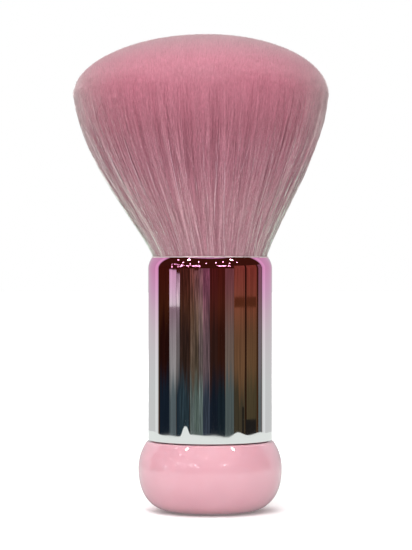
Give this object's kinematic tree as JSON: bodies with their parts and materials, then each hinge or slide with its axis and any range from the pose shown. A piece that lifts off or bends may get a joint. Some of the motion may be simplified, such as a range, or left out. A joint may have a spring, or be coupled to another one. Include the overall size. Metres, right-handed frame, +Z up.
{
  "type": "acrylic nail brush",
  "caption": "Soft domed nail-dust brush: a flared bristle tuft glued in a polished two-tone sleeve that stands on a weighted ball knob.",
  "frame": {"origin": "centre of the knob's flat foot, on the surface that the brush stands on", "axes": "+Z up the handle towards the bristles; the tuft leans slightly towards -X; -Y is the side seen from the front"},
  "size_m": [0.0616, 0.0616, 0.1151],
  "materials": {
    "knob": "gloss",
    "ballast": "satin",
    "core": "matte",
    "sleeve": "polished",
    "cup": "satin",
    "resin": "gloss",
    "root": "matte",
    "cord": "matte",
    "bristles": "matte"
  },
  "bodies": {
    "handle": {"knob_base": "knob", "ballast_slug": "ballast", "handle_core": "core", "ferrule_sleeve": "sleeve", "tuft_cup": "cup", "resin_plug": "resin", "bristle_root": "root", "binding_cord": "cord"},
    "neck": {"bristle_neck": "bristles"},
    "tuft": {"bristle_tuft": "bristles"}
  },
  "joints": [
    {"name": "bend_front", "type": "hinge", "parent": "handle", "child": "neck", "pos_m": [0, 0, 0.07145], "axis": [1, 0, 0], "range_deg": [-15, 15], "stiffness_Nm_per_rad": 0.12},
    {"name": "bend_side", "type": "hinge", "parent": "neck", "child": "tuft", "pos_m": [0, 0, 0.07145], "axis": [0, 1, 0], "range_deg": [-15, 15], "stiffness_Nm_per_rad": 0.12}
  ]
}
